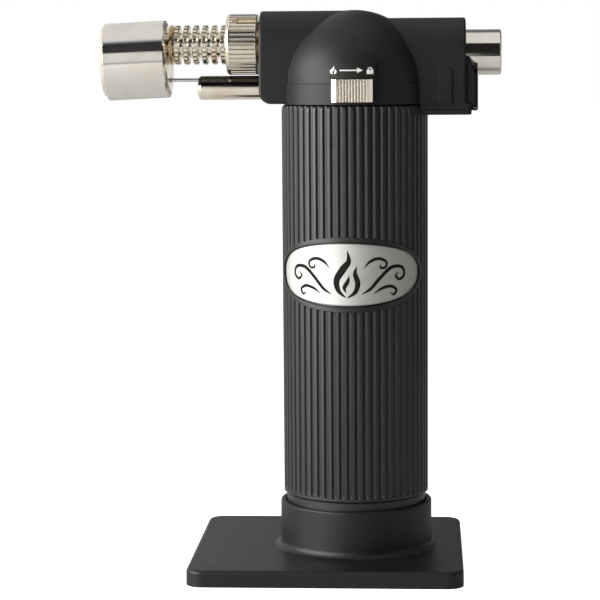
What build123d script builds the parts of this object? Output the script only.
from build123d import *
import os
from math import asin, cos, degrees, pi, radians, sin, sqrt

# Butane micro torch standing in its foot. Millimetres, +Z up. The origin is on the ground
# under the fuel tank's axis. The nozzle points along -X and the trigger button along +X;
# the badge and the flame lock face -Y.

os.makedirs("parts", exist_ok=True)

# ---------------------------------------------------------------- driving dimensions
WALL = 1.9  # moulded wall of the head
RUN = 0.3  # gap round a sliding plastic part
FIT = 0.05  # radial clearance of a turning or sliding metal fit

# foot
FOOT_LENGTH = 73.8
FOOT_WIDTH = 70.6
FOOT_THICK = 4.5
FOOT_CENTRE_X = -7.5
FOOT_CORNER = 4.5
FOOT_POCKET = 2.6
COLLAR_R = 20.95
COLLAR_BORE_R = 19.65
COLLAR_TOP = 17.3
COLLAR_FILLET = 1.8

# fuel tank
TANK_R = 20.0
TANK_PLAIN_R = 19.25
TANK_BORE_R = 17.5
TANK_BOTTOM = FOOT_THICK
TANK_TOP = 126.7
PLAIN_TOP = 19.4
FLUTES = 58
FLUTE_R = 0.64
FLUTE_LOW = 20.6
FLUTE_HIGH = TANK_TOP + 1
TANK_SHOULDER = 1.6
FLOOR_TOP = 8.3
LID_BOTTOM = 121.5
SEAL_R = 0.5

# badge seat, an ellipse wrapped round the tank
BADGE_TURN = 5.0
BADGE_Z = 81.5
BADGE_A = 23.1
BADGE_B = 8.4
BADGE_GAP = 0.45
RIM_WIDTH = 1.2
RIM_R = 20.3
RIM_LAP = 0.3
SEAT_R = 19.2
BADGE_R = 19.8

# head
BAND_TOP = 132.3
DOME_R = 19.75
BAND_BORE_R = TANK_R - WALL - 0.2
NOSE_FRONT = -25.6
NOSE_HALF = 9.0
NOSE_BOTTOM = 126.8
NOSE_CORNER = 3.3
BURNER_Z = 142.9
REAR_END = 30.2
REAR_HALF = 9.4
BUTTON_Z = 140.4
FLOOR_THICK = 1.9
HEAD_SCREW_PLACES = [(-4.0, 147.3), (24.5, 129.9), (-14.5, 132.0)]
HEAD_SEAT_Y = 6.5
BRACKET_SCREWS = [(26.5, -5.5), (26.5, 5.5)]
RIB_X = 24.6
RIB_HALF = 1.75
RIB_TOP = 136.5
RIB_PROUD = 0.55

# rear bracket and safety lever
BRACKET_BOTTOM = 123.65
BRACKET_HALF = 9.2
BRACKET_END = 31.75
HINGE_X = 32.75
HINGE_Z = 125.4
HINGE_PIN_R = 0.4
KNUCKLE_R = 0.7
LUG_HALF = 2.3
LEVER_HALF = 8.3
LEVER_FACE_X = REAR_END + 0.1
LEVER_TOP = 138.8
PAD_X = 33.45
PAD_TOP = 134.4
PAD_STEP_X = 32.6
PAD_HALF = 7.7
SHOULDER_X = 31.65
NECK_X = 30.85
FORK_R = 6.6
FORK_Z = 140.2

# trigger
BUTTON_R = 6.12
BUTTON_END = 39.8
BUTTON_FRONT = 21.0
BUTTON_FLANGE_R = 7.2
BUTTON_FLANGE = 1.5
BUTTON_WALL = 1.1
PIEZO_R = 3.9
PIEZO_FRONT = 2.0
PIEZO_REAR = 24.0
PLUNGER_R = 2.2

# gas valve and its lever
CHASSIS_R = 17.4
CHASSIS_TOP = 128.2
VALVE_R = 4.0
VALVE_BOTTOM = 112.0
VALVE_BORE_R = 2.3
TURRET_R = 3.2
TURRET_TOP = 130.7
STEM_R = 1.0
BARB_Z = 129.75
BARB_R = 0.9
BARB_TIP = -5.2
LEVER_BAR_Z = 131.9
LEVER_BAR_THICK = 1.4
LEVER_PIVOT_X = 7.0
LEVER_BAR_HALF = 2.6
LEVER_PIN_R = 0.6
LINK_Z = 132.85

# sliders in the band
TAB_HALF = 5.45
TAB_BOTTOM = 127.4
TAB_TOP = 133.4
TAB_INNER_R = TANK_R + 0.25
TAB_FACE = 21.5
TAB_RIDGES = 11
ARM_HALF = 2.3
ARM_LOW = 129.2
ARM_HIGH = 130.8
LOCK_TRAVEL = 8.5
FLOW_TRAVEL = 8.0
LABEL_HALF_ANGLE = 18.0
LABEL_LOW = 133.55
LABEL_HIGH = 138.0
LABEL_R = 20.05

# burner
JET_R = 4.5
HUB_R = 6.3
HUB_BORE_R = 4.2
TUBE_R = 3.3
TUBE_BORE_R = 1.9
TUBE_END = -53.2
FIN_R = 5.35
FIN_THICK = 1.55
FINS = 6
FIRST_FIN = -48.3
FIN_PITCH = 2.54
FIN_NOTCHES = 24
RING_R = 8.25
RING_FRONT = -34.7
RING_BACK = -26.2
RING_RIDGES = 40

# nozzle head, tipped nose-down and set low on the burner tube
NOZZLE_TIP_DEG = 2.5
NOZZLE_X = -59.4
NOZZLE_Z = 138.75
NOZZLE_R = 10.5
NOZZLE_HALF = 8.4
NOZZLE_WALL = 0.6
SLEEVE_R = 9.25
SLEEVE_WALL = 0.45
SLEEVE_PROUD = 0.9

# electrode
ELECTRODE_Z = 131.2
ELECTRODE_R = 3.25
ELECTRODE_FRONT = -42.7
ELECTRODE_BACK = -22.5
WIRE_Z = 133.35
WIRE_R = 0.5

BURNER_AXIS = Axis((0, 0, BURNER_Z), (1, 0, 0))
BUTTON_AXIS = Axis((0, 0, BUTTON_Z), (1, 0, 0))
NOZZLE_FORWARD = Vector(-cos(radians(NOZZLE_TIP_DEG)), 0, -sin(radians(NOZZLE_TIP_DEG)))
NOZZLE_CENTRE = Vector(NOZZLE_X, 0, NOZZLE_Z)
NOZZLE_AXIS = Axis(NOZZLE_CENTRE, NOZZLE_FORWARD)
NOZZLE_SECTION = Plane(origin=NOZZLE_CENTRE, x_dir=NOZZLE_FORWARD, z_dir=(0, -1, 0))


# ---------------------------------------------------------------- helpers
def outline(points, plane=Plane.XZ):
    """Closed straight-sided outline; in Plane.XZ a point is (x, z)."""
    with BuildSketch(plane) as sketch:
        with BuildLine():
            Polyline(*points, close=True)
        make_face()
    return sketch.sketch


def turn(points, axis=Axis.Z, plane=Plane.XZ, mode=Mode.ADD):
    """Turn a closed outline about an axis, in the part being built."""
    revolve(outline(points, plane), axis=axis, mode=mode)


def tube_points(start, end, inner, outer, centre=0.0):
    """Half-section of a plain tube lying along the outline's first direction."""
    return [
        (start, centre + inner),
        (end, centre + inner),
        (end, centre + outer),
        (start, centre + outer),
    ]


def ring_points(inner, outer, low, high):
    """Half-section of a plain ring standing on the tank's axis."""
    return [(inner, low), (outer, low), (outer, high), (inner, high)]


def cross_plane(x):
    """Plane across X at x: its first direction is +Y, its second +Z."""
    return Plane(origin=(x, 0, 0), x_dir=(0, 1, 0), z_dir=(1, 0, 0))


def arch(plane, half, low, centre):
    """Tunnel section: straight sides from low up to a full round about centre."""
    with BuildSketch(plane) as sketch:
        with BuildLine():
            Line((-half, centre), (-half, low))
            Line((-half, low), (half, low))
            Line((half, low), (half, centre))
            CenterArc((0, centre), half, 0, 180)
        make_face()
    return sketch.sketch


def sector(inner, outer, start_deg, end_deg):
    """Flat ring sector about the tank's axis, drawn on the ground plane."""
    span = end_deg - start_deg
    a = radians(start_deg)
    b = radians(end_deg)
    with BuildSketch(Plane.XY) as sketch:
        with BuildLine():
            CenterArc((0, 0), outer, start_deg, span)
            CenterArc((0, 0), inner, start_deg, span)
            Line((inner * cos(a), inner * sin(a)), (outer * cos(a), outer * sin(a)))
            Line((inner * cos(b), inner * sin(b)), (outer * cos(b), outer * sin(b)))
        make_face()
    return sketch.sketch


def sector_block(inner, outer, start_deg, end_deg, low, high, mode=Mode.ADD):
    """Ring sector standing from low to high, in the part being built."""
    face = sector(inner, outer, start_deg, end_deg).moved(Location((0, 0, low)))
    extrude(face, amount=high - low, mode=mode)


def spring(start, axis, length, radius, wire_r, coils):
    """Open helical compression spring from start, along axis."""
    with BuildPart() as coil:
        with BuildLine() as path:
            Helix(pitch=length / coils, height=length, radius=radius, center=start, direction=axis)
        with BuildSketch(Plane(origin=path.line @ 0, z_dir=path.line % 0)):
            Circle(wire_r)
        sweep(is_frenet=True)
    return coil.part


def save(part, name):
    """Label a finished piece and write it."""
    part.label = name
    export_step(part, f"parts/{name}.step")


# ---------------------------------------------------------------- foot
COLLAR_RIM = 0.5
FOOT_EDGE = 1.0
POCKET_RIM = 2.2
HUB_DISC_R = 7.0
FOOT_RIB = 1.6

with BuildPart() as base_stand:
    with BuildSketch(Plane.XY):
        with Locations((FOOT_CENTRE_X, 0)):
            RectangleRounded(FOOT_LENGTH, FOOT_WIDTH, FOOT_CORNER)
    extrude(amount=FOOT_THICK)
    fillet(faces().sort_by(Axis.Z)[-1].edges(), FOOT_EDGE)
    with BuildSketch(Plane.XY.offset(FOOT_THICK)):
        Circle(COLLAR_R)
    extrude(amount=COLLAR_TOP - FOOT_THICK)
    collar_edges = edges().filter_by(GeomType.CIRCLE).filter_by(
        lambda e: abs(e.radius - COLLAR_R) < 0.01
    )
    fillet(collar_edges.sort_by(Axis.Z)[0], COLLAR_FILLET)
    fillet(collar_edges.sort_by(Axis.Z)[-1], COLLAR_RIM)
    with BuildSketch(Plane.XY.offset(FOOT_THICK)):
        Circle(COLLAR_BORE_R)
    extrude(amount=COLLAR_TOP, mode=Mode.SUBTRACT)
    # hollow underside, stiffened by a hub and a cross of ribs
    with BuildSketch(Plane.XY):
        with Locations((FOOT_CENTRE_X, 0)):
            RectangleRounded(FOOT_LENGTH - 2 * POCKET_RIM, FOOT_WIDTH - 2 * POCKET_RIM, FOOT_CORNER - 2)
        Circle(HUB_DISC_R, mode=Mode.SUBTRACT)
        Rectangle(2 * FOOT_LENGTH, FOOT_RIB, mode=Mode.SUBTRACT)
        Rectangle(FOOT_RIB, 2 * FOOT_WIDTH, mode=Mode.SUBTRACT)
    extrude(amount=FOOT_POCKET, mode=Mode.SUBTRACT)
save(base_stand.part, "base_stand")


# ---------------------------------------------------------------- tank
SEAT_A = BADGE_A + BADGE_GAP
SEAT_B = BADGE_B + BADGE_GAP
RIM_A = SEAT_A + RIM_WIDTH
RIM_B = SEAT_B + RIM_WIDTH


def wrapped_ellipse(a, b, radius):
    """Ellipse wrapped round the tank and seen square on, as a flat closed curve."""
    points = []
    count = 28
    for i in range(count):
        t = 2 * pi * i / count
        points.append((radius * sin(a * cos(t) / radius), BADGE_Z + b * sin(t)))
    with BuildSketch(Plane.XZ) as sketch:
        with BuildLine():
            Spline(*points, periodic=True)
        make_face()
    return sketch.sketch.rotate(Axis.Z, -BADGE_TURN)


def wrapped_plate(a, b, outer_r):
    """Oval plate bent round the tank, from the badge seat's depth out to outer_r."""
    with BuildPart() as plate:
        extrude(wrapped_ellipse(a, b, TANK_R), amount=2 * TANK_R)
        turn(ring_points(0, SEAT_R, TANK_BOTTOM, TANK_TOP), mode=Mode.SUBTRACT)
        with BuildPart(mode=Mode.INTERSECT):
            turn(ring_points(0, outer_r, TANK_BOTTOM, TANK_TOP))
    return plate.part


def flute(angle_deg, low, high):
    """Round-ended rod that cuts one flute."""
    with BuildPart() as rod:
        with BuildSketch(Plane.XZ):
            with BuildLine():
                Line((0, low), (0, high))
                CenterArc((0, high - FLUTE_R), FLUTE_R, 0, 90)
                Line((FLUTE_R, high - FLUTE_R), (FLUTE_R, low + FLUTE_R))
                CenterArc((0, low + FLUTE_R), FLUTE_R, -90, 90)
            make_face()
        revolve(axis=Axis.Z)
    return rod.part.moved(Rotation(0, 0, angle_deg) * Pos(TANK_R + 0.06, 0, 0))


def flute_runs(angle_deg):
    """Heights between which a flute runs, broken where it goes in under the badge's rim."""
    off_badge = (angle_deg + 90 + BADGE_TURN + 180) % 360 - 180
    across = TANK_R * radians(off_badge)
    stop_a = RIM_A - RIM_LAP
    if abs(across) >= stop_a:
        return [(FLUTE_LOW, FLUTE_HIGH)]
    reach = (RIM_B - RIM_LAP) * sqrt(1 - (across / stop_a) ** 2)
    return [(FLUTE_LOW, BADGE_Z - reach), (BADGE_Z + reach, FLUTE_HIGH)]


flutes = []
for i in range(FLUTES):
    flute_angle = 360 * i / FLUTES
    for run_low, run_high in flute_runs(flute_angle):
        flutes.append(flute(flute_angle, run_low, run_high))

TANK_FOOT_CHAMFER = 0.6
with BuildPart() as tank_body:
    turn(
        [
            (TANK_BORE_R, TANK_BOTTOM),
            (TANK_PLAIN_R - TANK_FOOT_CHAMFER, TANK_BOTTOM),
            (TANK_PLAIN_R, TANK_BOTTOM + TANK_FOOT_CHAMFER),
            (TANK_PLAIN_R, PLAIN_TOP),
            (TANK_R, PLAIN_TOP + 0.5),
            (TANK_R, TANK_TOP),
            (TANK_BORE_R, TANK_TOP),
        ]
    )
    top_edges = edges().filter_by(GeomType.CIRCLE).group_by(Axis.Z)[-1]
    fillet(top_edges.sort_by(lambda e: e.radius)[-1], TANK_SHOULDER)
    add(flutes, mode=Mode.SUBTRACT)
    # raised rim round the badge's seat, then the seat itself
    add(wrapped_plate(RIM_A, RIM_B, RIM_R))
    add(wrapped_plate(SEAT_A, SEAT_B, RIM_R + 1), mode=Mode.SUBTRACT)
save(tank_body.part, "tank_body")

save(wrapped_plate(BADGE_A, BADGE_B, BADGE_R), "badge_plate")


def plug(low, high, seal_z):
    """Round plug for one end of the tank, with a groove for its seal."""
    with BuildPart() as disc:
        turn(ring_points(VALVE_R, TANK_BORE_R, low, high))
        turn(
            ring_points(TANK_BORE_R - 1.1, TANK_BORE_R + 1, seal_z - 0.7, seal_z + 0.7),
            mode=Mode.SUBTRACT,
        )
    return disc.part


def seal(seal_z):
    """O-ring that lies in a plug's groove against the tank wall."""
    with BuildPart() as ring:
        with BuildSketch(Plane.XZ):
            with Locations((TANK_BORE_R - SEAL_R - 0.02, seal_z)):
                Circle(SEAL_R)
        revolve(axis=Axis.Z)
    return ring.part


FLOOR_SEAL_Z = 6.5
TOP_SEAL_Z = 124.0
save(plug(TANK_BOTTOM + 0.3, FLOOR_TOP, FLOOR_SEAL_Z), "tank_floor")
save(seal(FLOOR_SEAL_Z), "floor_seal")
save(seal(TOP_SEAL_Z), "top_seal")

# refill valve in the tank floor
REFILL_CAVITY_R = 1.6
REFILL_CAVITY_TOP = 15.5
with BuildPart() as refill_valve_body:
    turn(
        [
            (1.0, TANK_BOTTOM + 0.3),
            (VALVE_R, TANK_BOTTOM + 0.3),
            (VALVE_R, FLOOR_TOP),
            (5.5, FLOOR_TOP),
            (5.5, FLOOR_TOP + 1.0),
            (3.0, FLOOR_TOP + 1.0),
            (3.0, 17.0),
            (0.6, 17.0),
            (0.6, REFILL_CAVITY_TOP),
            (REFILL_CAVITY_R, REFILL_CAVITY_TOP),
            (REFILL_CAVITY_R, 6.4),
            (1.0, 6.4),
        ]
    )
save(refill_valve_body.part, "refill_valve_body")

REFILL_HEAD_TOP = 8.2
with BuildPart() as refill_valve_stem:
    turn([(0, 5.2), (0.75, 5.2), (0.75, 6.9), (1.3, 6.9), (1.3, REFILL_HEAD_TOP), (0, REFILL_HEAD_TOP)])
save(refill_valve_stem.part, "refill_valve_stem")

save(
    spring((0, 0, REFILL_HEAD_TOP + 0.22), (0, 0, 1), 6.8, 1.1, 0.2, 6),
    "refill_valve_spring",
)

# ---------------------------------------------------------------- gas valve
CHASSIS_SCREW_R = 12.0
CHASSIS_SCREW_ANGLES = [0, 135, 225]
SCREW_CORE_R = 1.0
SCREW_BOTTOM = 122.6

with BuildPart() as tank_top:
    add(plug(LID_BOTTOM, TANK_TOP, TOP_SEAL_Z))
    with BuildSketch(Plane.XY.offset(TANK_TOP)):
        for screw_angle in CHASSIS_SCREW_ANGLES:
            with PolarLocations(CHASSIS_SCREW_R, 1, start_angle=screw_angle):
                Circle(SCREW_CORE_R)
    extrude(amount=SCREW_BOTTOM - TANK_TOP, mode=Mode.SUBTRACT)
save(tank_top.part, "tank_top")

CAVITY_LOW = 117.0
CAVITY_HIGH = 126.0
with BuildPart() as gas_valve_body:
    turn(
        [
            (0.7, VALVE_BOTTOM),
            (VALVE_R, VALVE_BOTTOM),
            (VALVE_R, TANK_TOP),
            (5.0, TANK_TOP),
            (5.0, CHASSIS_TOP - 0.2),
            (TURRET_R, CHASSIS_TOP - 0.2),
            (TURRET_R, TURRET_TOP),
            (STEM_R + 0.1, TURRET_TOP),
            (STEM_R + 0.1, CAVITY_HIGH),
            (VALVE_BORE_R, CAVITY_HIGH),
            (VALVE_BORE_R, CAVITY_LOW),
            (0.7, CAVITY_LOW),
        ]
    )
    barb_axis = Axis((0, 0, BARB_Z), (1, 0, 0))
    turn(tube_points(BARB_TIP, -3.0, 0, BARB_R, BARB_Z), barb_axis)
    turn(tube_points(BARB_TIP, -1.75, 0, 0.45, BARB_Z), barb_axis, mode=Mode.SUBTRACT)
    with BuildSketch(Plane.XY.offset(BARB_Z)):
        with Locations((-1.78, 0)):
            Circle(0.35)
    extrude(amount=CAVITY_HIGH - BARB_Z - 0.5, mode=Mode.SUBTRACT)
save(gas_valve_body.part, "gas_valve_body")

PAD_BOTTOM = CAVITY_LOW
POPPET_LOW = 117.9
POPPET_HIGH = 119.2
STEM_HEAD_LOW = LEVER_BAR_Z + LEVER_BAR_THICK / 2 + 0.5
with BuildPart() as gas_valve_stem:
    turn(
        [
            (0, POPPET_LOW),
            (1.9, POPPET_LOW),
            (1.9, POPPET_HIGH),
            (STEM_R, POPPET_HIGH),
            (STEM_R, STEM_HEAD_LOW),
            (2.2, STEM_HEAD_LOW),
            (2.2, STEM_HEAD_LOW + 1.1),
            (0, STEM_HEAD_LOW + 1.1),
        ]
    )
save(gas_valve_stem.part, "gas_valve_stem")

with BuildPart() as valve_pad:
    turn(ring_points(0, 1.7, PAD_BOTTOM + 0.02, POPPET_LOW))
save(valve_pad.part, "valve_pad")

save(
    spring((0, 0, POPPET_HIGH + 0.3), (0, 0, 1), 6.1, 1.65, 0.25, 5),
    "gas_valve_spring",
)

# ---------------------------------------------------------------- chassis in the head
CRADLE_X = (10.0, 15.0)
CRADLE_IN = 3.5
CRADLE_OUT = 6.2
EAR_IN = 3.2
EAR_OUT = 4.8
EAR_X = (5.6, 8.4)
EAR_TOP = 133.2

with BuildPart() as head_chassis:
    turn(ring_points(5.1, CHASSIS_R, TANK_TOP, CHASSIS_TOP))
    with BuildSketch(Plane.XY.offset(CHASSIS_TOP)):
        for side in (-1, 1):
            with Locations((sum(CRADLE_X) / 2, side * (CRADLE_IN + CRADLE_OUT) / 2)):
                Rectangle(CRADLE_X[1] - CRADLE_X[0], CRADLE_OUT - CRADLE_IN)
    extrude(amount=BUTTON_Z - CHASSIS_TOP)
    with BuildSketch(Plane.XY.offset(CHASSIS_TOP)):
        for side in (-1, 1):
            with Locations((sum(EAR_X) / 2, side * (EAR_IN + EAR_OUT) / 2)):
                Rectangle(EAR_X[1] - EAR_X[0], EAR_OUT - EAR_IN)
    extrude(amount=EAR_TOP - CHASSIS_TOP)
    # the igniter lies between the cradle's horns
    turn(tube_points(0, REAR_END, 0, PIEZO_R, BUTTON_Z), BUTTON_AXIS, mode=Mode.SUBTRACT)
    with BuildSketch(Plane.XZ.offset(-EAR_OUT)):
        with Locations((LEVER_PIVOT_X, LEVER_BAR_Z)):
            Circle(LEVER_PIN_R)
    extrude(amount=2 * EAR_OUT, mode=Mode.SUBTRACT)
    with BuildSketch(Plane.XY.offset(TANK_TOP)):
        for screw_angle in CHASSIS_SCREW_ANGLES:
            with PolarLocations(CHASSIS_SCREW_R, 1, start_angle=screw_angle):
                Circle(SCREW_CORE_R + 0.1)
    extrude(amount=CHASSIS_TOP - TANK_TOP, mode=Mode.SUBTRACT)
save(head_chassis.part, "head_chassis")


def pan_screw(core_r, head_r, head_high, length, slot):
    """Pan-head screw with its seat at the origin and its head upwards."""
    with BuildPart() as screw:
        turn(
            [
                (0, -length),
                (core_r * 0.5, -length),
                (core_r, -length + core_r * 0.8),
                (core_r, 0),
                (head_r, 0),
                (head_r, head_high * 0.6),
                (head_r * 0.75, head_high),
                (0, head_high),
            ]
        )
        with BuildSketch(Plane.XY.offset(head_high)):
            Rectangle(head_r * 1.2, slot)
            Rectangle(slot, head_r * 1.2)
        extrude(amount=-head_high * 0.55, mode=Mode.SUBTRACT)
    return screw.part


chassis_screw = pan_screw(SCREW_CORE_R, 1.9, 1.2, CHASSIS_TOP - SCREW_BOTTOM - 0.2, 0.45)
with BuildPart() as chassis_screws:
    for screw_angle in CHASSIS_SCREW_ANGLES:
        with PolarLocations(CHASSIS_SCREW_R, 1, start_angle=screw_angle):
            add(chassis_screw.moved(Pos(0, 0, CHASSIS_TOP)))
save(chassis_screws.part, "chassis_screws")

with BuildPart() as valve_lever_pin:
    with BuildSketch(Plane.XZ.offset(-EAR_OUT)):
        with Locations((LEVER_PIVOT_X, LEVER_BAR_Z)):
            Circle(LEVER_PIN_R)
    extrude(amount=2 * EAR_OUT)
save(valve_lever_pin.part, "valve_lever_pin")

LEVER_TIP_X = -1.8
LEVER_TAIL_X = 14.0
FORK_HALF = STEM_R + 0.25
with BuildPart() as valve_lever:
    with BuildSketch(Plane.XY.offset(LEVER_BAR_Z - LEVER_BAR_THICK / 2)):
        with Locations(((LEVER_TIP_X + LEVER_TAIL_X) / 2, 0)):
            Rectangle(LEVER_TAIL_X - LEVER_TIP_X, 2 * LEVER_BAR_HALF)
        with Locations((LEVER_TIP_X, 0)):
            Rectangle(2 * (-LEVER_TIP_X), 2 * FORK_HALF, mode=Mode.SUBTRACT)
        Circle(FORK_HALF, mode=Mode.SUBTRACT)
    extrude(amount=LEVER_BAR_THICK)
    with BuildSketch(Plane.XZ.offset(-LEVER_BAR_HALF)):
        with Locations((LEVER_PIVOT_X, LEVER_BAR_Z)):
            Circle(1.3)
    extrude(amount=2 * LEVER_BAR_HALF)
    with BuildSketch(Plane.XZ.offset(-LEVER_BAR_HALF)):
        with Locations((LEVER_PIVOT_X, LEVER_BAR_Z)):
            Circle(LEVER_PIN_R + FIT)
    extrude(amount=2 * LEVER_BAR_HALF, mode=Mode.SUBTRACT)
save(valve_lever.part, "valve_lever")

# ---------------------------------------------------------------- trigger
with BuildPart() as trigger_button:
    turn(
        [
            (BUTTON_FRONT, BUTTON_Z + BUTTON_R - BUTTON_WALL),
            (BUTTON_FRONT, BUTTON_Z + BUTTON_FLANGE_R),
            (BUTTON_FRONT + BUTTON_FLANGE, BUTTON_Z + BUTTON_FLANGE_R),
            (BUTTON_FRONT + BUTTON_FLANGE, BUTTON_Z + BUTTON_R),
            (BUTTON_END - 0.45, BUTTON_Z + BUTTON_R),
            (BUTTON_END - 0.13, BUTTON_Z + BUTTON_R - 0.13),
            (BUTTON_END, BUTTON_Z + BUTTON_R - 0.45),
            (BUTTON_END, BUTTON_Z),
            (BUTTON_END - 1.4, BUTTON_Z),
            (BUTTON_END - 1.4, BUTTON_Z + BUTTON_R - BUTTON_WALL),
        ],
        BUTTON_AXIS,
    )
save(trigger_button.part, "trigger_button")

with BuildPart() as piezo_body:
    turn(
        [
            (PIEZO_FRONT, BUTTON_Z),
            (PIEZO_FRONT, BUTTON_Z + 2.2),
            (PIEZO_FRONT + 1.5, BUTTON_Z + 2.2),
            (PIEZO_FRONT + 1.5, BUTTON_Z + PIEZO_R),
            (PIEZO_REAR, BUTTON_Z + PIEZO_R),
            (PIEZO_REAR, BUTTON_Z + PLUNGER_R + 0.2),
            (14.5, BUTTON_Z + PLUNGER_R + 0.2),
            (14.5, BUTTON_Z),
        ],
        BUTTON_AXIS,
    )
save(piezo_body.part, "piezo_body")

with BuildPart() as piezo_plunger:
    turn(tube_points(20.0, BUTTON_END - 1.4, 0, PLUNGER_R, BUTTON_Z), BUTTON_AXIS)
save(piezo_plunger.part, "piezo_plunger")

save(
    spring((PIEZO_REAR + 0.4, 0, BUTTON_Z), (1, 0, 0), BUTTON_END - 1.4 - PIEZO_REAR - 0.8, 3.5, 0.35, 6),
    "trigger_spring",
)

# sliding link with a ramp that presses the valve lever's tail down
LINK_FRONT = 12.6
LINK_BACK = BUTTON_FRONT
RAMP_START = 13.5
RAMP_END = 17.5
RAMP_DROP = 0.75
with BuildPart() as trigger_link:
    link_side = outline(
        [
            (LINK_FRONT, LINK_Z),
            (RAMP_START, LINK_Z),
            (RAMP_END, LINK_Z - RAMP_DROP),
            (RAMP_END + 0.6, LINK_Z),
            (LINK_BACK, LINK_Z),
            (LINK_BACK, BUTTON_Z - 4.4),
            (LINK_BACK - 1.6, BUTTON_Z - 4.4),
            (LINK_BACK - 1.6, LINK_Z + 2.0),
            (LINK_FRONT, LINK_Z + 2.0),
        ],
        Plane.XZ.offset(-3.0),
    )
    extrude(link_side, amount=6.0)
save(trigger_link.part, "trigger_link")


# ---------------------------------------------------------------- head housing
def head_mass(dome_r, band_r, band_low, nose_front, nose_half, nose_low, rear_end, rear_half, rear_low):
    """Dome on its band, with the nose block in front and the rear block behind."""
    with BuildPart() as mass:
        with BuildSketch(Plane.XZ):
            with BuildLine():
                Polyline((0, BAND_TOP + dome_r), (0, band_low), (band_r, band_low), (band_r, BAND_TOP - 0.12))
                Line((band_r, BAND_TOP - 0.12), (dome_r, BAND_TOP))
                CenterArc((0, BAND_TOP), dome_r, 0, 90)
            make_face()
        revolve(axis=Axis.Z)
        extrude(arch(cross_plane(nose_front), nose_half, nose_low, BURNER_Z), amount=-nose_front)
        extrude(arch(cross_plane(0), rear_half, rear_low, BUTTON_Z), amount=rear_end)
    return mass.part


HEAD_EDGE = 0.7
BOSS_R = 2.7
PILOT_R = 0.85

with BuildPart() as head_solid:
    add(
        head_mass(
            DOME_R, TANK_R, TANK_TOP, NOSE_FRONT, NOSE_HALF, NOSE_BOTTOM, REAR_END, REAR_HALF, TANK_TOP
        )
    )
    nose_face = faces().sort_by(Axis.X)[0]
    fillet(nose_face.edges().sort_by(Axis.Z)[0], NOSE_CORNER)
    fillet(faces().sort_by(Axis.X)[0].edges(), HEAD_EDGE)
    fillet(faces().sort_by(Axis.X)[-1].edges(), HEAD_EDGE)
    # arch-topped ribs on both sides of the rear block
    with BuildSketch(Plane.XZ.offset(REAR_HALF + RIB_PROUD)):
        with BuildLine():
            Line((RIB_X - RIB_HALF, RIB_TOP - RIB_HALF), (RIB_X - RIB_HALF, TANK_TOP))
            Line((RIB_X - RIB_HALF, TANK_TOP), (RIB_X + RIB_HALF, TANK_TOP))
            Line((RIB_X + RIB_HALF, TANK_TOP), (RIB_X + RIB_HALF, RIB_TOP - RIB_HALF))
            CenterArc((RIB_X, RIB_TOP - RIB_HALF), RIB_HALF, 0, 180)
        make_face()
    extrude(amount=-2 * (REAR_HALF + RIB_PROUD))
    # plate above the flame lock, ready for its marks
    sector_block(DOME_R - 3, LABEL_R, -90 - LABEL_HALF_ANGLE, -90 + LABEL_HALF_ANGLE, LABEL_LOW, LABEL_HIGH)
    sector_block(DOME_R - 3, LABEL_R, 90 - LABEL_HALF_ANGLE, 90 + LABEL_HALF_ANGLE, LABEL_LOW, LABEL_HIGH)

with BuildPart() as head_bosses:
    with BuildSketch(Plane.XZ.offset(-TANK_R)):
        with Locations(*HEAD_SCREW_PLACES):
            Circle(BOSS_R)
    extrude(amount=2 * TANK_R)
    add(head_solid.part, mode=Mode.INTERSECT)

with BuildPart() as head_shell:
    add(head_solid.part)
    add(
        head_mass(
            DOME_R - WALL,
            BAND_BORE_R,
            TANK_TOP,
            NOSE_FRONT + WALL,
            NOSE_HALF - WALL,
            NOSE_BOTTOM + FLOOR_THICK,
            REAR_END - WALL,
            REAR_HALF - WALL,
            TANK_TOP + FLOOR_THICK,
        ),
        mode=Mode.SUBTRACT,
    )
    add(head_bosses.part)
    # front wall: burner spigot and electrode tube
    with BuildSketch(cross_plane(NOSE_FRONT - 1)):
        with Locations((0, BURNER_Z)):
            Circle(JET_R)
    extrude(amount=WALL + 1.5, mode=Mode.SUBTRACT)
    with BuildSketch(cross_plane(NOSE_FRONT - 1)):
        with Locations((0, ELECTRODE_Z)):
            Circle(ELECTRODE_R)
    extrude(amount=ELECTRODE_BACK - NOSE_FRONT + 1.5, mode=Mode.SUBTRACT)
    # rear wall: trigger button
    with BuildSketch(cross_plane(REAR_END - WALL - 0.5)):
        with Locations((0, BUTTON_Z)):
            Circle(BUTTON_R + RUN)
    extrude(amount=WALL + 1.5, mode=Mode.SUBTRACT)
    # pilot holes for the bracket's screws
    with BuildSketch(Plane.XY.offset(TANK_TOP)):
        with Locations(*BRACKET_SCREWS):
            Circle(PILOT_R)
    extrude(amount=FLOOR_THICK, mode=Mode.SUBTRACT)
    # slots in the band for the arms of the two sliders
    arm_angle = degrees(asin((ARM_HALF + 0.2) / (TANK_R - WALL)))
    sector_block(
        TANK_R - 4, TANK_R + 2, -90 - arm_angle, -90 + arm_angle + LOCK_TRAVEL, ARM_LOW - RUN, ARM_HIGH + RUN,
        mode=Mode.SUBTRACT,
    )
    sector_block(
        TANK_R - 4, TANK_R + 2, 90 - arm_angle - FLOW_TRAVEL, 90 + arm_angle + FLOW_TRAVEL,
        ARM_LOW - RUN, ARM_HIGH + RUN,
        mode=Mode.SUBTRACT,
    )

with BuildPart() as housing_left:
    add(head_shell.part)
    split(bisect_by=Plane.XZ, keep=Keep.TOP)
    with BuildSketch(Plane.XZ):
        with Locations(*HEAD_SCREW_PLACES):
            Circle(PILOT_R)
    extrude(amount=HEAD_SEAT_Y, mode=Mode.SUBTRACT)
save(housing_left.part, "housing_left")

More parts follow.
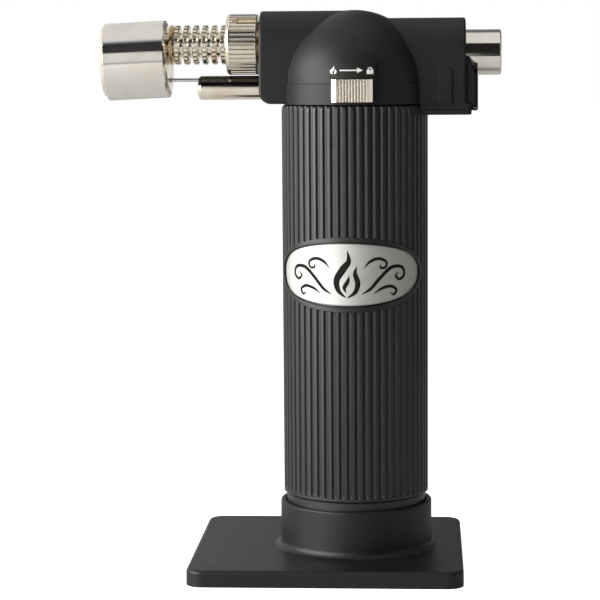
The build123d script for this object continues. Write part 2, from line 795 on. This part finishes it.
with BuildPart() as housing_right:
    add(head_shell.part)
    split(bisect_by=Plane.XZ, keep=Keep.BOTTOM)
    with BuildSketch(Plane.XZ):
        with Locations(*HEAD_SCREW_PLACES):
            Circle(PILOT_R + 0.25)
    extrude(amount=-TANK_R, mode=Mode.SUBTRACT)
    with BuildSketch(Plane.XZ.offset(-HEAD_SEAT_Y)):
        with Locations(*HEAD_SCREW_PLACES):
            Circle(2.15)
    extrude(amount=-TANK_R, mode=Mode.SUBTRACT)
save(housing_right.part, "housing_right")

head_screw = pan_screw(PILOT_R, 1.95, 1.3, HEAD_SEAT_Y + 5.5, 0.5)
with BuildPart() as housing_screws:
    for screw_x, screw_z in HEAD_SCREW_PLACES:
        add(head_screw.moved(Pos(screw_x, HEAD_SEAT_Y, screw_z) * Rotation(-90, 0, 0)))
save(housing_screws.part, "housing_screws")

# ---------------------------------------------------------------- rear bracket and safety lever
BRACKET_STEP = 1.35
BRACKET_GROOVE = 0.3
BRACKET_CORNER = 1.2
SCREW_HEAD_R = 1.7

with BuildPart() as rear_bracket:
    with BuildSketch(Plane.XY.offset(BRACKET_BOTTOM)):
        with Locations((BRACKET_END / 2, 0)):
            Rectangle(BRACKET_END, 2 * BRACKET_HALF)
        Circle(TANK_R + 0.02, mode=Mode.SUBTRACT)
    extrude(amount=TANK_TOP - BRACKET_BOTTOM)
    fillet(edges().filter_by(Axis.Z).sort_by(Axis.X)[-2:], BRACKET_CORNER)
    fillet(faces().sort_by(Axis.Z)[0].edges().filter_by(Axis.X), 0.5)
    # line that parts the bracket's upper lip from its base
    with BuildSketch(Plane.XY.offset(BRACKET_BOTTOM + BRACKET_STEP - BRACKET_GROOVE / 2)):
        with Locations((TANK_R + 10, 0)):
            Rectangle(60, 60)
        with Locations((BRACKET_END / 2 - 1, 0)):
            Rectangle(BRACKET_END + 1.4, 2 * BRACKET_HALF - 0.6, mode=Mode.SUBTRACT)
    extrude(amount=BRACKET_GROOVE, mode=Mode.SUBTRACT)
    # lug for the lever's hinge pin
    with BuildSketch(Plane.XZ.offset(-LUG_HALF)):
        with Locations((HINGE_X, HINGE_Z)):
            Circle(KNUCKLE_R)
        with Locations((HINGE_X - 1, HINGE_Z - 0.2)):
            Rectangle(2, 1.0)
    extrude(amount=2 * LUG_HALF)
    with BuildSketch(Plane.XZ.offset(-LUG_HALF)):
        with Locations((HINGE_X, HINGE_Z)):
            Circle(HINGE_PIN_R)
    extrude(amount=2 * LUG_HALF, mode=Mode.SUBTRACT)
    with BuildSketch(Plane.XY.offset(BRACKET_BOTTOM)):
        with Locations(*BRACKET_SCREWS):
            Circle(PILOT_R + 0.2)
    extrude(amount=TANK_TOP - BRACKET_BOTTOM, mode=Mode.SUBTRACT)
    with BuildSketch(Plane.XY.offset(BRACKET_BOTTOM)):
        with Locations(*BRACKET_SCREWS):
            Circle(SCREW_HEAD_R + 0.15)
    extrude(amount=1.2, mode=Mode.SUBTRACT)
save(rear_bracket.part, "rear_bracket")

bracket_screw = pan_screw(PILOT_R, SCREW_HEAD_R, 1.0, 3.4, 0.4)
with BuildPart() as bracket_screws:
    for screw_x, screw_y in BRACKET_SCREWS:
        place = Pos(screw_x, screw_y, BRACKET_BOTTOM + 1.2) * Rotation(180, 0, 0)
        add(bracket_screw.moved(place))
save(bracket_screws.part, "bracket_screws")

LEVER_EDGE = 0.35
LEVER_GAP = 0.15
KNUCKLE_GAP = 0.3
with BuildPart() as safety_lever:
    with BuildSketch(Plane.XZ.offset(-LEVER_HALF)):
        with BuildLine():
            Line((LEVER_FACE_X, LEVER_TOP), (LEVER_FACE_X, TANK_TOP + LEVER_GAP))
            Line((LEVER_FACE_X, TANK_TOP + LEVER_GAP), (BRACKET_END + LEVER_GAP, TANK_TOP + LEVER_GAP))
            Line((BRACKET_END + LEVER_GAP, TANK_TOP + LEVER_GAP), (HINGE_X - KNUCKLE_R, HINGE_Z))
            CenterArc((HINGE_X, HINGE_Z), KNUCKLE_R, 180, 180)
            Line((HINGE_X + KNUCKLE_R, HINGE_Z), (PAD_X, PAD_TOP))
            Spline(
                (PAD_X, PAD_TOP),
                (PAD_STEP_X, PAD_TOP + 0.5),
                ((PAD_STEP_X + SHOULDER_X) / 2, PAD_TOP + 1.6),
                (SHOULDER_X, PAD_TOP + 3.0),
                (NECK_X, LEVER_TOP),
            )
            Line((NECK_X, LEVER_TOP), (LEVER_FACE_X, LEVER_TOP))
        make_face()
    extrude(amount=2 * LEVER_HALF)
    # the thumb pad stands in from the lever's sides
    with BuildSketch(Plane.XY.offset(HINGE_Z - 1)):
        for side in (-1, 1):
            with Locations((PAD_STEP_X + 1, side * (PAD_HALF + 1))):
                Rectangle(2, 2)
    extrude(amount=LEVER_TOP - HINGE_Z, mode=Mode.SUBTRACT)
    fillet(edges().filter_by(Axis.Z).sort_by(Axis.X)[-2:], LEVER_EDGE)
    # notch that straddles the trigger button
    with BuildSketch(cross_plane(REAR_END)):
        with BuildLine():
            CenterArc((0, FORK_Z), FORK_R, 180, 180)
            Line((FORK_R, FORK_Z), (-FORK_R, FORK_Z))
        make_face()
    extrude(amount=6, mode=Mode.SUBTRACT)
    # room for the bracket's lug, and the hinge pin's hole
    with BuildSketch(cross_plane(REAR_END)):
        with Locations((0, HINGE_Z - 0.5)):
            Rectangle(2 * (LUG_HALF + KNUCKLE_GAP), 3.2)
    extrude(amount=6, mode=Mode.SUBTRACT)
    with BuildSketch(Plane.XZ.offset(-LEVER_HALF)):
        with Locations((HINGE_X, HINGE_Z)):
            Circle(HINGE_PIN_R + FIT)
    extrude(amount=2 * LEVER_HALF, mode=Mode.SUBTRACT)
    # grip lines across the thumb pad
    with BuildSketch(Plane.YZ.offset(PAD_X + 0.15)):
        with GridLocations(0, 1.1, 1, 5):
            with Locations((0, HINGE_Z + 4.2)):
                Rectangle(2 * PAD_HALF - 2, 0.45)
    extrude(amount=-0.35, mode=Mode.SUBTRACT)
save(safety_lever.part, "safety_lever")

with BuildPart() as lever_pin:
    with BuildSketch(Plane.XZ.offset(-PAD_HALF + 0.3)):
        with Locations((HINGE_X, HINGE_Z)):
            Circle(HINGE_PIN_R)
    extrude(amount=2 * (PAD_HALF - 0.3))
save(lever_pin.part, "lever_pin")

# ---------------------------------------------------------------- sliders in the band
TAB_BEVEL = 1.1
TAB_BEVEL_DROP = 0.6
RIDGE_DEPTH = 0.45
PLATE_INNER = 14.5
PLATE_ANGLE = 14.0


def tab():
    """Knurled tab facing -Y: bevelled ends with upright ridges between them."""
    with BuildPart() as knob:
        with BuildSketch(Plane.XY.offset(TAB_BOTTOM)):
            with BuildLine():
                Polyline(
                    (-TAB_HALF, -TAB_FACE + TAB_BEVEL_DROP),
                    (-TAB_HALF + TAB_BEVEL, -TAB_FACE),
                    (TAB_HALF - TAB_BEVEL, -TAB_FACE),
                    (TAB_HALF, -TAB_FACE + TAB_BEVEL_DROP),
                    (TAB_HALF, -TAB_INNER_R + 3),
                    (-TAB_HALF, -TAB_INNER_R + 3),
                    close=True,
                )
            make_face()
            Circle(TAB_INNER_R, mode=Mode.SUBTRACT)
        extrude(amount=TAB_TOP - TAB_BOTTOM)
        pitch = 2 * (TAB_HALF - TAB_BEVEL) / TAB_RIDGES
        with BuildSketch(Plane.XY.offset(TAB_BOTTOM)):
            with Locations((0, -TAB_FACE)):
                with GridLocations(pitch, 0, TAB_RIDGES - 1, 1):
                    Rectangle(pitch * 0.42, 2 * RIDGE_DEPTH)
        extrude(amount=TAB_TOP - TAB_BOTTOM, mode=Mode.SUBTRACT)
    return knob.part


with BuildPart() as lock_slider:
    add(tab())
    with BuildSketch(Plane.XY.offset(ARM_LOW)):
        with Locations((0, -(PLATE_INNER + TAB_INNER_R + 0.3) / 2 - 0.5)):
            Rectangle(2 * ARM_HALF, TAB_INNER_R + 0.3 - PLATE_INNER - 1)
    extrude(amount=ARM_HIGH - ARM_LOW)
    sector_block(
        PLATE_INNER, BAND_BORE_R - RUN, -90 - PLATE_ANGLE, -90 + PLATE_ANGLE, ARM_LOW, ARM_HIGH
    )
save(lock_slider.part, "lock_slider")

REGULATOR_R = TURRET_R + 0.2
with BuildPart() as flow_slider:
    add(tab().rotate(Axis.Z, 180))
    with BuildSketch(Plane.XY.offset(ARM_LOW)):
        with Locations((0, (4.2 + TAB_INNER_R + 0.3) / 2)):
            Rectangle(2 * ARM_HALF - 1.6, TAB_INNER_R + 0.3 - 4.2)
        with Locations((0, (PLATE_INNER + TAB_INNER_R + 0.3) / 2 + 0.5)):
            Rectangle(2 * ARM_HALF, TAB_INNER_R + 0.3 - PLATE_INNER - 1)
    extrude(amount=ARM_HIGH - ARM_LOW)
    sector_block(
        PLATE_INNER, BAND_BORE_R - RUN, 90 - PLATE_ANGLE, 90 + PLATE_ANGLE, ARM_LOW, ARM_HIGH
    )
    sector_block(REGULATOR_R, REGULATOR_R + 1.4, 35, 140, ARM_LOW, ARM_HIGH)
save(flow_slider.part, "flow_slider")

# ---------------------------------------------------------------- burner
JET_FRONT = -31.0
HOLDER_FRONT = -29.0
HOLDER_STEP = -26.5
HOLDER_BACK = -17.5
HOLDER_BARB = -14.2

with BuildPart() as jet_holder:
    turn(
        [
            (HOLDER_FRONT, BURNER_Z + 1.2),
            (HOLDER_FRONT, BURNER_Z + HUB_BORE_R),
            (HOLDER_STEP, BURNER_Z + HUB_BORE_R),
            (HOLDER_STEP, BURNER_Z + JET_R),
            (HOLDER_BACK, BURNER_Z + JET_R),
            (HOLDER_BACK, BURNER_Z + BARB_R),
            (HOLDER_BARB, BURNER_Z + BARB_R),
            (HOLDER_BARB, BURNER_Z + 0.45),
            (HOLDER_STEP, BURNER_Z + 0.45),
            (HOLDER_STEP, BURNER_Z + 1.2),
        ],
        BURNER_AXIS,
    )
save(jet_holder.part, "jet_holder")

with BuildPart() as gas_jet:
    turn(
        [
            (JET_FRONT, BURNER_Z + 0.2),
            (JET_FRONT, BURNER_Z + 0.6),
            (JET_FRONT + 1.0, BURNER_Z + 1.7),
            (HOLDER_FRONT, BURNER_Z + 1.7),
            (HOLDER_FRONT, BURNER_Z + 1.2),
            (HOLDER_STEP, BURNER_Z + 1.2),
            (HOLDER_STEP, BURNER_Z + 0.6),
            (JET_FRONT + 1.0, BURNER_Z + 0.6),
        ],
        BURNER_AXIS,
    )
save(gas_jet.part, "gas_jet")

HUB_FRONT = -34.2
HUB_WEB = -32.8
AIR_WINDOW_X = (-31.8, -28.2)
PORT_R = 0.6
FIN_EDGE = 0.3
NOTCH = 0.62
NOTCH_DEPTH = 0.75
fin_places = [FIRST_FIN + FIN_PITCH * i for i in range(FINS)]

with BuildPart() as mixing_tube:
    turn(
        [
            (TUBE_END, BURNER_Z + TUBE_BORE_R),
            (TUBE_END, BURNER_Z + TUBE_R),
            (HUB_FRONT, BURNER_Z + TUBE_R),
            (HUB_FRONT, BURNER_Z + HUB_R),
            (HOLDER_STEP - 0.2, BURNER_Z + HUB_R),
            (HOLDER_STEP - 0.2, BURNER_Z + HUB_BORE_R),
            (HUB_WEB, BURNER_Z + HUB_BORE_R),
            (HUB_WEB, BURNER_Z + TUBE_BORE_R),
        ],
        BURNER_AXIS,
    )
    for x in fin_places:
        turn(
            [
                (x - FIN_THICK / 2, BURNER_Z + TUBE_R - 0.5),
                (x - FIN_THICK / 2, BURNER_Z + FIN_R - FIN_EDGE),
                (x - FIN_THICK / 2 + FIN_EDGE, BURNER_Z + FIN_R),
                (x + FIN_THICK / 2 - FIN_EDGE, BURNER_Z + FIN_R),
                (x + FIN_THICK / 2, BURNER_Z + FIN_R - FIN_EDGE),
                (x + FIN_THICK / 2, BURNER_Z + TUBE_R - 0.5),
            ],
            BURNER_AXIS,
        )
    # straight knurl cut across all the fins
    notches = []
    for i in range(FIN_NOTCHES):
        turned = Pos(0, 0, BURNER_Z) * Rotation(360 * (i + 0.5) / FIN_NOTCHES, 0, 0)
        notches.append(
            Box(FIN_PITCH * FINS + 1, NOTCH, 2 * NOTCH_DEPTH, mode=Mode.PRIVATE).moved(
                turned * Pos(sum(fin_places) / FINS, 0, FIN_R)
            )
        )
    add(notches, mode=Mode.SUBTRACT)
    # air windows in the hub, and ports between the fins
    with BuildSketch(Plane.XZ.offset(-HUB_R - 1)):
        with Locations((sum(AIR_WINDOW_X) / 2, BURNER_Z)):
            Rectangle(AIR_WINDOW_X[1] - AIR_WINDOW_X[0], 3.6)
    extrude(amount=2 * HUB_R + 2, mode=Mode.SUBTRACT)
    with BuildSketch(Plane.XZ.offset(-FIN_R)):
        for x in fin_places[:-1]:
            with Locations((x + FIN_PITCH / 2, BURNER_Z)):
                Circle(PORT_R)
    extrude(amount=2 * FIN_R, mode=Mode.SUBTRACT)
save(mixing_tube.part, "mixing_tube")

RING_EDGE = 0.7
RIDGE_CUT_R = 0.36
WINDOW_TURN = 50.0
WINDOW_HALF = 1.15
WINDOW_TIP = -33.0
with BuildPart() as air_ring:
    turn(
        [
            (RING_FRONT, BURNER_Z + HUB_R + FIT),
            (RING_FRONT, BURNER_Z + RING_R - RING_EDGE),
            (RING_FRONT + 0.25, BURNER_Z + RING_R - 0.22),
            (RING_FRONT + RING_EDGE, BURNER_Z + RING_R),
            (RING_BACK - 0.3, BURNER_Z + RING_R),
            (RING_BACK, BURNER_Z + RING_R - 0.3),
            (RING_BACK, BURNER_Z + HUB_R + FIT),
        ],
        BURNER_AXIS,
    )
    ridges = []
    for i in range(RING_RIDGES):
        place = Pos(RING_FRONT + 1.1, 0, BURNER_Z) * Rotation(360 * i / RING_RIDGES, 0, 0)
        ridges.append(
            Cylinder(
                RIDGE_CUT_R, RING_BACK - RING_FRONT - 1.6, align=(Align.CENTER, Align.CENTER, Align.MIN),
                mode=Mode.PRIVATE,
            ).moved(place * Pos(0, 0, RING_R + 0.08) * Rotation(0, 90, 0))
        )
    add(ridges, mode=Mode.SUBTRACT)
    # pointed air window, open towards the head
    window_plane = Plane.XY.rotated((90 - WINDOW_TURN, 0, 0))
    window_plane.origin = Vector(0, 0, BURNER_Z)
    window = outline(
        [
            (WINDOW_TIP, 0),
            (WINDOW_TIP + 1.3, WINDOW_HALF),
            (RING_BACK + 1, WINDOW_HALF),
            (RING_BACK + 1, -WINDOW_HALF),
            (WINDOW_TIP + 1.3, -WINDOW_HALF),
        ],
        Plane.XY,
    ).moved(Location(window_plane))
    extrude(window, amount=-RING_R - 1, mode=Mode.SUBTRACT)
    extrude(window, amount=RING_R + 1, mode=Mode.SUBTRACT)
save(air_ring.part, "air_ring")

with BuildPart() as retaining_rings:
    for x in (-50.1, -49.65):
        turn(tube_points(x - 0.15, x + 0.15, TUBE_R, FIN_R, BURNER_Z), BURNER_AXIS)
save(retaining_rings.part, "retaining_rings")

# ---------------------------------------------------------------- nozzle head
PLATE_PROUD = 0.35
PLATE_THICK = 0.8
PLATE_SKIRT = 3.0
SHELL_EDGE = 0.35
SHELL_BORE_R = NOZZLE_R - NOZZLE_WALL
TIP_R = 4.6
TIP_LENGTH = 6.5


def nozzle_turn(points, mode=Mode.ADD):
    """Turn a section of (distance towards the mouth, radius) about the nozzle's axis."""
    turn([(along, -radius) for along, radius in points], NOZZLE_AXIS, NOZZLE_SECTION, mode)


with BuildPart() as nozzle_shell:
    nozzle_turn(
        [
            (-NOZZLE_HALF, SHELL_BORE_R),
            (NOZZLE_HALF, SHELL_BORE_R),
            (NOZZLE_HALF, NOZZLE_R - 0.15),
            (NOZZLE_HALF - 0.15, NOZZLE_R),
            (-NOZZLE_HALF + SHELL_EDGE, NOZZLE_R),
            (-NOZZLE_HALF + 0.1, NOZZLE_R - 0.1),
            (-NOZZLE_HALF, NOZZLE_R - SHELL_EDGE),
        ]
    )
save(nozzle_shell.part, "nozzle_shell")

with BuildPart() as nozzle_sleeve:
    nozzle_turn(
        [
            (-NOZZLE_HALF + PLATE_SKIRT, SLEEVE_R - SLEEVE_WALL),
            (NOZZLE_HALF + SLEEVE_PROUD, SLEEVE_R - SLEEVE_WALL),
            (NOZZLE_HALF + SLEEVE_PROUD, SLEEVE_R),
            (-NOZZLE_HALF + PLATE_SKIRT + 0.5, SLEEVE_R),
            (-NOZZLE_HALF + PLATE_SKIRT + 0.5, SHELL_BORE_R),
            (-NOZZLE_HALF + PLATE_SKIRT, SHELL_BORE_R),
        ]
    )
save(nozzle_sleeve.part, "nozzle_sleeve")

with BuildPart() as nozzle_plate:
    nozzle_turn(
        [
            (-NOZZLE_HALF - PLATE_PROUD, 0),
            (-NOZZLE_HALF - PLATE_PROUD, SHELL_BORE_R - 0.9),
            (-NOZZLE_HALF - PLATE_PROUD + 0.25, SHELL_BORE_R - 0.25),
            (-NOZZLE_HALF - PLATE_PROUD + 0.9, SHELL_BORE_R),
            (-NOZZLE_HALF + PLATE_SKIRT, SHELL_BORE_R),
            (-NOZZLE_HALF + PLATE_SKIRT, SHELL_BORE_R - PLATE_THICK),
            (-NOZZLE_HALF - PLATE_PROUD + PLATE_THICK, SHELL_BORE_R - PLATE_THICK),
            (-NOZZLE_HALF - PLATE_PROUD + PLATE_THICK, 0),
        ]
    )
    with BuildSketch(cross_plane(NOZZLE_X)):
        with Locations((0, BURNER_Z)):
            Circle(TUBE_R)
        with Locations((0, WIRE_Z)):
            Circle(WIRE_R + 0.5)
    extrude(amount=NOZZLE_HALF + 4, mode=Mode.SUBTRACT)
save(nozzle_plate.part, "nozzle_plate")

with BuildPart() as flame_tip:
    turn(
        [
            (TUBE_END - TIP_LENGTH, BURNER_Z),
            (TUBE_END - TIP_LENGTH, BURNER_Z + TIP_R - 0.3),
            (TUBE_END - TIP_LENGTH + 0.3, BURNER_Z + TIP_R),
            (TUBE_END + 1.2, BURNER_Z + TIP_R),
            (TUBE_END + 1.2, BURNER_Z + TUBE_R),
            (TUBE_END - TIP_LENGTH + 1.2, BURNER_Z + TUBE_R),
            (TUBE_END - TIP_LENGTH + 1.2, BURNER_Z),
        ],
        BURNER_AXIS,
    )
    with BuildSketch(cross_plane(TUBE_END - TIP_LENGTH)):
        with Locations((0, BURNER_Z)):
            Circle(0.55)
            with PolarLocations(2.2, 8):
                Circle(0.5)
    extrude(amount=1.5, mode=Mode.SUBTRACT)
save(flame_tip.part, "flame_tip")

# ---------------------------------------------------------------- electrode, gas tube and lead
INSULATOR_R = 0.75
with BuildPart() as electrode_tube:
    axis = Axis((0, 0, ELECTRODE_Z), (1, 0, 0))
    turn(
        [
            (ELECTRODE_FRONT, ELECTRODE_Z),
            (ELECTRODE_FRONT, ELECTRODE_Z + ELECTRODE_R - 0.8),
            (ELECTRODE_FRONT + 0.23, ELECTRODE_Z + ELECTRODE_R - 0.23),
            (ELECTRODE_FRONT + 0.8, ELECTRODE_Z + ELECTRODE_R),
            (ELECTRODE_BACK, ELECTRODE_Z + ELECTRODE_R),
            (ELECTRODE_BACK, ELECTRODE_Z),
        ],
        axis,
    )
    with BuildSketch(cross_plane(ELECTRODE_FRONT)):
        with Locations((0, WIRE_Z)):
            Circle(INSULATOR_R)
    extrude(amount=ELECTRODE_BACK - ELECTRODE_FRONT, mode=Mode.SUBTRACT)
save(electrode_tube.part, "electrode_tube")

with BuildPart() as electrode_insulator:
    turn(
        tube_points(ELECTRODE_FRONT + 0.3, ELECTRODE_BACK, WIRE_R, INSULATOR_R, WIRE_Z),
        Axis((0, 0, WIRE_Z), (1, 0, 0)),
    )
save(electrode_insulator.part, "electrode_insulator")


def round_tube(points, radii, outer, inner=0.0):
    """Tube along straight runs joined by tangent arcs."""
    with BuildPart() as tube:
        with BuildLine() as path:
            FilletPolyline(*points, radius=radii)
        with BuildSketch(Plane(origin=path.line @ 0, z_dir=path.line % 0)):
            Circle(outer)
            if inner:
                Circle(inner, mode=Mode.SUBTRACT)
        sweep()
    return tube.part


WIRE_TIP = (-61.5, 0, 137.2)
save(
    round_tube([(ELECTRODE_BACK, 0, WIRE_Z), (-58.5, 0, WIRE_Z), WIRE_TIP], [2.0], WIRE_R),
    "electrode_wire",
)
save(
    round_tube(
        [(-3.6, 0, BARB_Z), (-8.4, 0, BARB_Z), (-8.4, 0, BURNER_Z), (HOLDER_BACK, 0, BURNER_Z)],
        [3.0, 3.4],
        1.5,
        BARB_R,
    ),
    "gas_tube",
)
LEAD_R = 0.55
save(
    round_tube(
        [
            (PIEZO_FRONT, 0, BUTTON_Z),
            (-2.6, 0, BUTTON_Z),
            (-6.0, -3.4, 138.6),
            (-12.0, -3.4, 136.9),
            (-17.4, -1.6, 135.9),
            (-20.0, 0, WIRE_Z),
            (ELECTRODE_BACK, 0, WIRE_Z),
        ],
        [2.0, 3.0, 3.0, 1.5, 1.2],
        LEAD_R,
    ),
    "ignition_lead",
)
